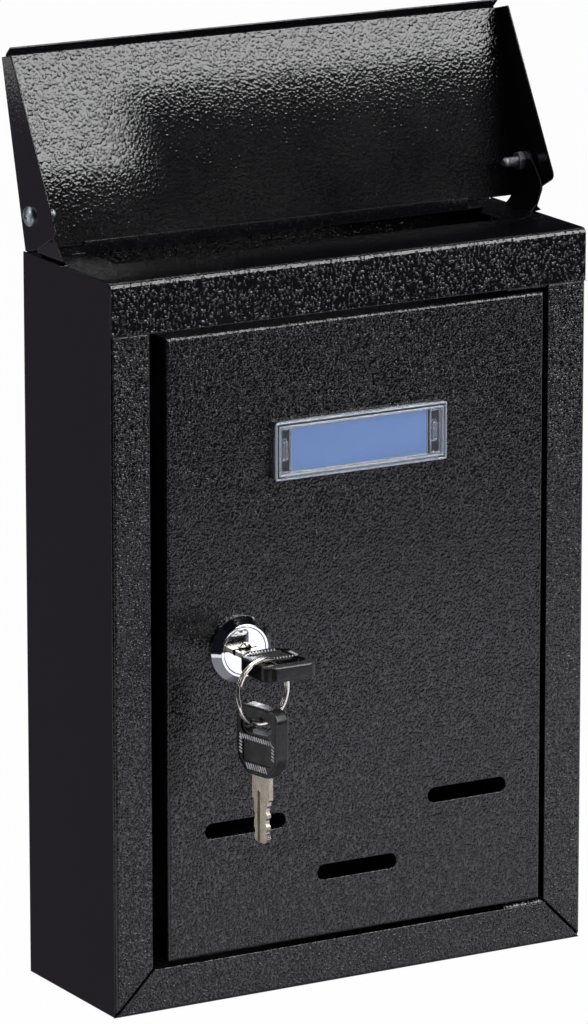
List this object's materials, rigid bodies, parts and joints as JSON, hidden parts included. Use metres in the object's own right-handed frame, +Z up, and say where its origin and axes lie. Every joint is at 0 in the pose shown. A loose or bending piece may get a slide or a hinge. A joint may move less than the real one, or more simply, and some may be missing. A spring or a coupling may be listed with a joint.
{
  "type": "wall mounted mailbox",
  "caption": "Folded sheet steel letter box for a wall, with a hinged rain lid over a top slot, a locking front door with a name plate, and a key ring with spare key.",
  "frame": {"origin": "centre of the wall face, which is the back of the back panel", "axes": "+X right as seen from the front, +Y into the wall, +Z up"},
  "size_m": [0.2312, 0.1269, 0.3759],
  "materials": {
    "powder_coat": "glossy black powder coat with a fine texture",
    "zinc": "bright zinc plating",
    "chrome": "polished",
    "nickel": "satin nickel plating",
    "black_plastic": "smooth moulded",
    "clear_plastic": "clear moulded polystyrene",
    "card": "plain blue card"
  },
  "bodies": {
    "frame": {"side_panel_left": "powder_coat", "side_panel_right": "powder_coat", "bottom_panel": "powder_coat", "back_panel": "powder_coat", "top_cover": "powder_coat", "door_stop_upper": "powder_coat", "door_stop_lower": "powder_coat", "door_hinge_bracket_upper": "powder_coat", "door_hinge_bracket_lower": "powder_coat", "door_washer_lower": "zinc", "lid_screw_left": "zinc", "lid_screw_right": "zinc", "lid_nut_left": "zinc", "lid_nut_right": "zinc"},
    "lid": {"lid_shell": "powder_coat"},
    "door": {"door_pan": "powder_coat", "door_pin_upper": "zinc", "door_pin_lower": "zinc", "nameplate_holder": "clear_plastic", "name_card": "card", "lock_body": "chrome", "lock_nut": "zinc"},
    "lock": {"lock_plug": "chrome", "lock_cam": "zinc", "cam_screw": "zinc"},
    "key": {"key_blade": "nickel", "key_bow": "black_plastic"},
    "ring": {"key_ring": "nickel"},
    "spare_key": {"spare_key_blade": "nickel", "spare_key_bow": "black_plastic"}
  },
  "joints": [
    {"name": "lid_hinge", "type": "hinge", "parent": "frame", "child": "lid", "pos_m": [0, -0.017, 0.165], "axis": [1, 0, 0], "range_deg": [0, 128.5]},
    {"name": "door_hinge", "type": "hinge", "parent": "frame", "child": "door", "pos_m": [0.0815, -0.067, 0], "axis": [0, 0, 1], "range_deg": [0, 105]},
    {"name": "lock_turn", "type": "hinge", "parent": "door", "child": "lock", "pos_m": [-0.0519, -0.073, -0.0039], "axis": [0, -1, 0], "range_deg": [0, 90]},
    {"name": "key_pull", "type": "slide", "parent": "lock", "child": "key", "axis": [0, -1, 0], "range_m": [0, 0.02]},
    {"name": "ring_swing", "type": "hinge", "parent": "key", "child": "ring", "pos_m": [-0.0619, -0.1085, -0.0039], "axis": [0, -1, 0], "range_deg": [-90, 0]},
    {"name": "spare_key_swing", "type": "hinge", "parent": "ring", "child": "spare_key", "pos_m": [-0.0619, -0.1085, -0.02423], "axis": [0.9781, 0.2079, 0], "range_deg": [-35, 35]}
  ],
  "couplings": [
    {"joint": "ring_swing", "follows": "lock_turn", "ratio": -1}
  ]
}
